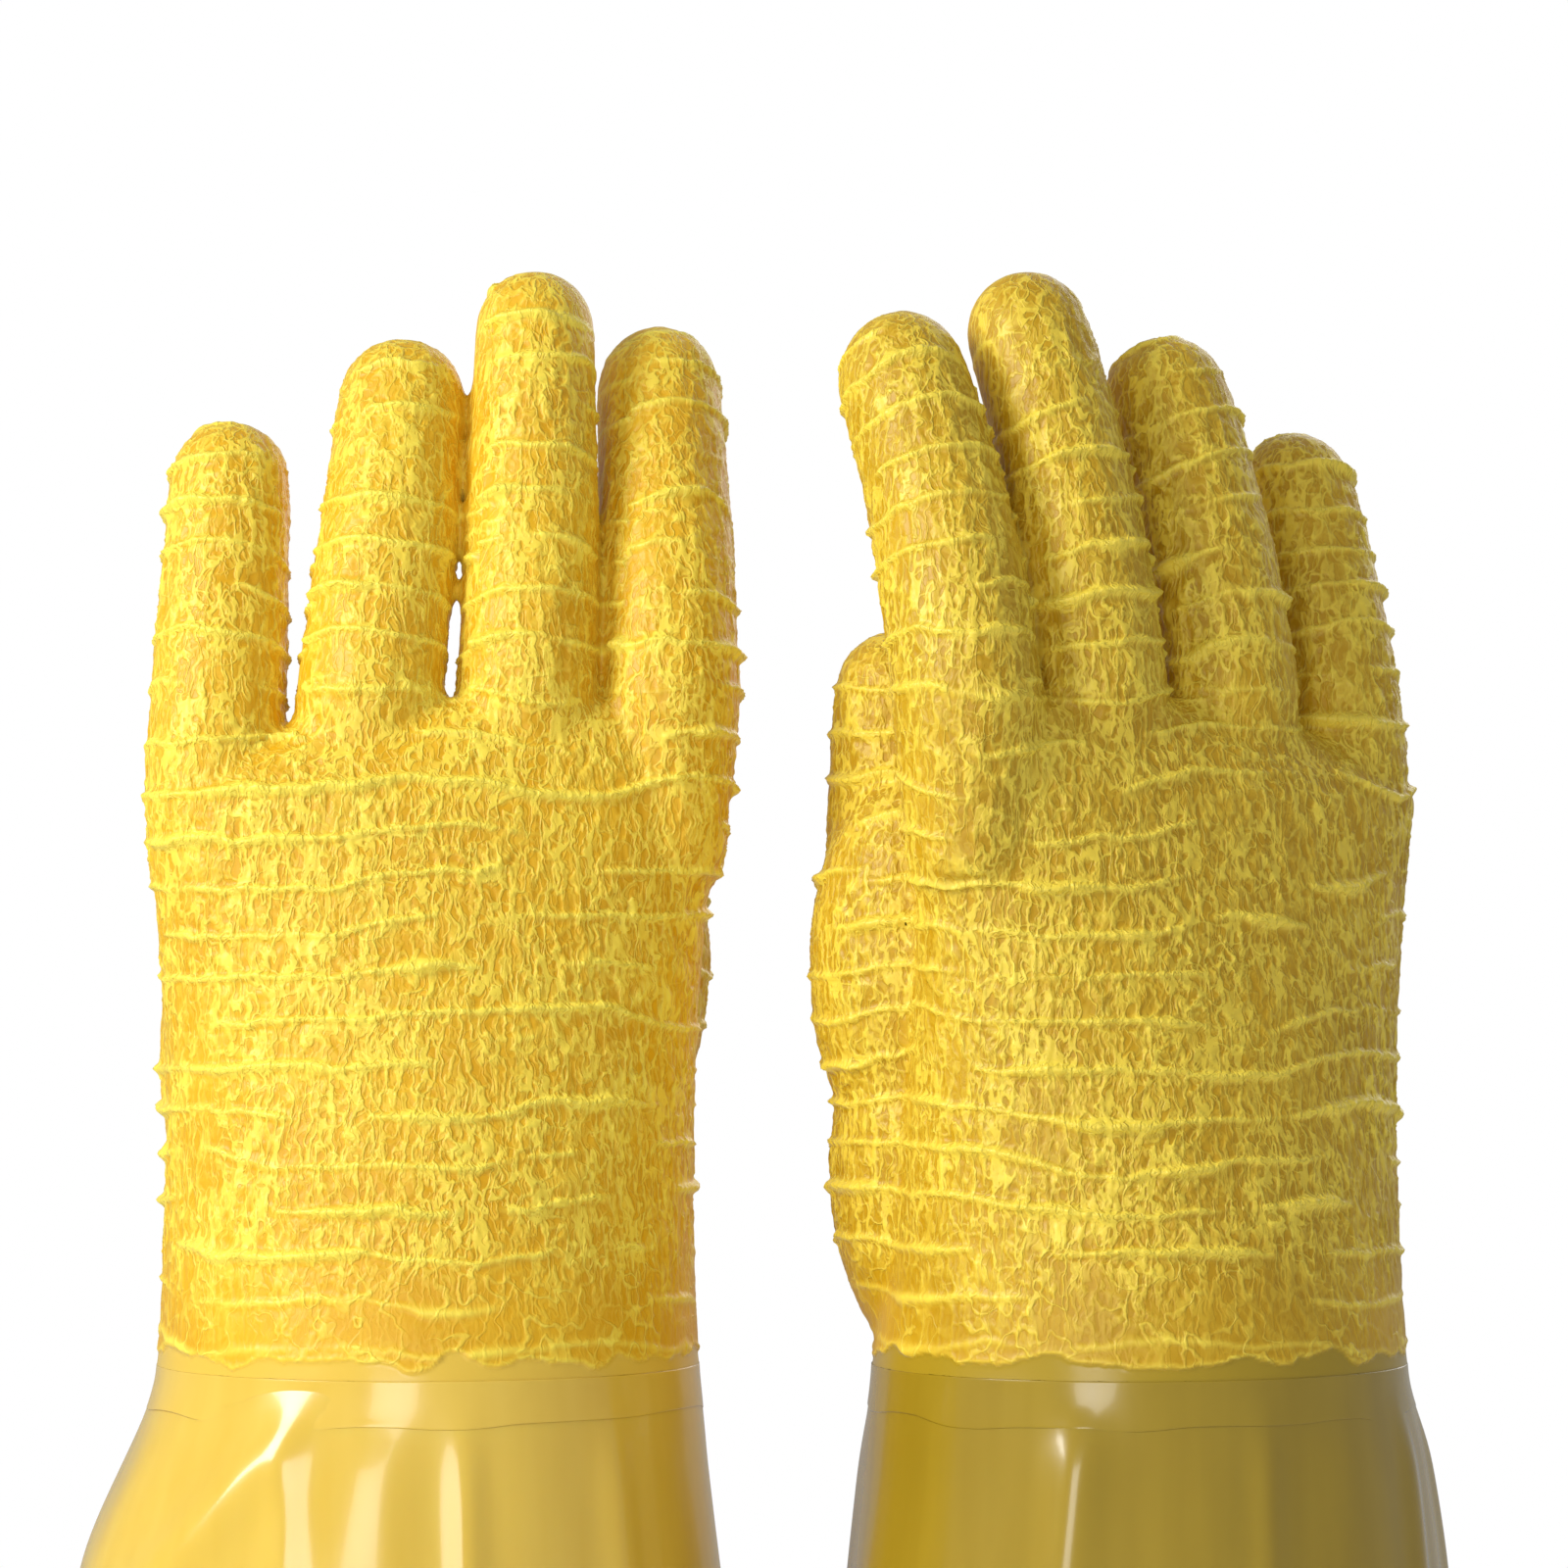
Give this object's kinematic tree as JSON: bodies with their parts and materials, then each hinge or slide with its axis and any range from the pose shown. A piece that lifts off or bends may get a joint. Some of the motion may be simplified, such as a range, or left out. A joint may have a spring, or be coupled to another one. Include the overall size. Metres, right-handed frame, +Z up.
{
  "type": "electrical insulating gloves",
  "caption": "Pair of long natural-rubber insulating gauntlets with a crinkled yellow grip coat over the hand, standing on their cuffs with the fingers up.",
  "frame": {"origin": "on the surface that the cuffs stand on, under the middle of the pair", "axes": "+Z up through the fingers, +X across the pair from the left glove to the right glove, -Y towards the viewer who sees the backs of the hands"},
  "size_m": [0.287, 0.1278, 0.3612],
  "materials": {
    "insulating_shell": "smooth glossy slightly translucent latex",
    "grip_coat": "crinkled satin latex"
  },
  "bodies": {
    "left_gauntlet": {"left_gauntlet_shell": "insulating_shell", "left_cuff_bead": "insulating_shell", "left_dip_band": "grip_coat"},
    "left_palm": {"left_palm_shell": "insulating_shell", "left_palm_coat": "grip_coat"},
    "left_thumb": {"left_thumb_shell": "insulating_shell", "left_thumb_coat": "grip_coat"},
    "left_index": {"left_index_shell": "insulating_shell", "left_index_coat": "grip_coat"},
    "left_middle": {"left_middle_shell": "insulating_shell", "left_middle_coat": "grip_coat"},
    "left_ring": {"left_ring_shell": "insulating_shell", "left_ring_coat": "grip_coat"},
    "left_little": {"left_little_shell": "insulating_shell", "left_little_coat": "grip_coat"},
    "right_gauntlet": {"right_gauntlet_shell": "insulating_shell", "right_cuff_bead": "insulating_shell", "right_dip_band": "grip_coat"},
    "right_palm": {"right_palm_shell": "insulating_shell", "right_palm_coat": "grip_coat"},
    "right_thumb": {"right_thumb_shell": "insulating_shell", "right_thumb_coat": "grip_coat"},
    "right_index": {"right_index_shell": "insulating_shell", "right_index_coat": "grip_coat"},
    "right_middle": {"right_middle_shell": "insulating_shell", "right_middle_coat": "grip_coat"},
    "right_ring": {"right_ring_shell": "insulating_shell", "right_ring_coat": "grip_coat"},
    "right_little": {"right_little_shell": "insulating_shell", "right_little_coat": "grip_coat"}
  },
  "joints": [
    {"name": "right_glove_slide", "type": "slide", "parent": "left_gauntlet", "child": "right_gauntlet", "axis": [1, 0, 0], "range_m": [0, 0.15]},
    {"name": "left_wrist_flex", "type": "hinge", "parent": "left_gauntlet", "child": "left_palm", "pos_m": [-0.07701, 0.04999, 0.142], "axis": [-0.9903, -0.1392, 0], "range_deg": [0, 20], "stiffness_Nm_per_rad": 6},
    {"name": "left_thumb_flex", "type": "hinge", "parent": "left_palm", "child": "left_thumb", "pos_m": [-0.03564, 0.04382, 0.22174], "axis": [-0.9897, -0.1391, -0.0349], "range_deg": [0, 35], "stiffness_Nm_per_rad": 0.2},
    {"name": "left_index_flex", "type": "hinge", "parent": "left_palm", "child": "left_index", "pos_m": [-0.02392, 0.00944, 0.26972], "axis": [-0.9901, -0.1391, 0.0209], "range_deg": [0, 33], "stiffness_Nm_per_rad": 0.2},
    {"name": "left_middle_flex", "type": "hinge", "parent": "left_palm", "child": "left_middle", "pos_m": [-0.05177, 0.0019, 0.27505], "axis": [-0.9889, -0.139, 0.0523], "range_deg": [0, 60], "stiffness_Nm_per_rad": 0.2},
    {"name": "left_ring_flex", "type": "hinge", "parent": "left_palm", "child": "left_ring", "pos_m": [-0.0832, -0.00178, 0.27263], "axis": [-0.9806, -0.1378, 0.1392], "range_deg": [0, 60], "stiffness_Nm_per_rad": 0.2},
    {"name": "left_little_flex", "type": "hinge", "parent": "left_palm", "child": "left_little", "pos_m": [-0.1139, -0.00094, 0.25932], "axis": [-0.9879, -0.1388, 0.0698], "range_deg": [0, 60], "stiffness_Nm_per_rad": 0.2},
    {"name": "right_wrist_flex", "type": "hinge", "parent": "right_gauntlet", "child": "right_palm", "pos_m": [0.04623, 0.04353, 0.142], "axis": [-0.866, -0.5, 0], "range_deg": [0, 13], "stiffness_Nm_per_rad": 6},
    {"name": "right_thumb_flex", "type": "hinge", "parent": "right_palm", "child": "right_thumb", "pos_m": [0.01742, 0.0132, 0.22174], "axis": [-0.8655, -0.4997, 0.0349], "range_deg": [0, 35], "stiffness_Nm_per_rad": 0.2},
    {"name": "right_index_flex", "type": "hinge", "parent": "right_palm", "child": "right_index", "pos_m": [0.02922, -0.02092, 0.27108], "axis": [-0.8658, -0.4999, -0.0209], "range_deg": [0, 40], "stiffness_Nm_per_rad": 0.2},
    {"name": "right_middle_flex", "type": "hinge", "parent": "right_palm", "child": "right_middle", "pos_m": [0.05588, -0.00987, 0.27554], "axis": [-0.8653, -0.4996, -0.0401], "range_deg": [0, 60], "stiffness_Nm_per_rad": 0.2},
    {"name": "right_ring_flex", "type": "hinge", "parent": "right_palm", "child": "right_ring", "pos_m": [0.0827, 0.00651, 0.27332], "axis": [-0.8652, -0.4995, -0.0436], "range_deg": [0, 60], "stiffness_Nm_per_rad": 0.2},
    {"name": "right_little_flex", "type": "hinge", "parent": "right_palm", "child": "right_little", "pos_m": [0.10657, 0.02598, 0.25884], "axis": [-0.866, -0.5, 0.0087], "range_deg": [0, 60], "stiffness_Nm_per_rad": 0.2}
  ]
}
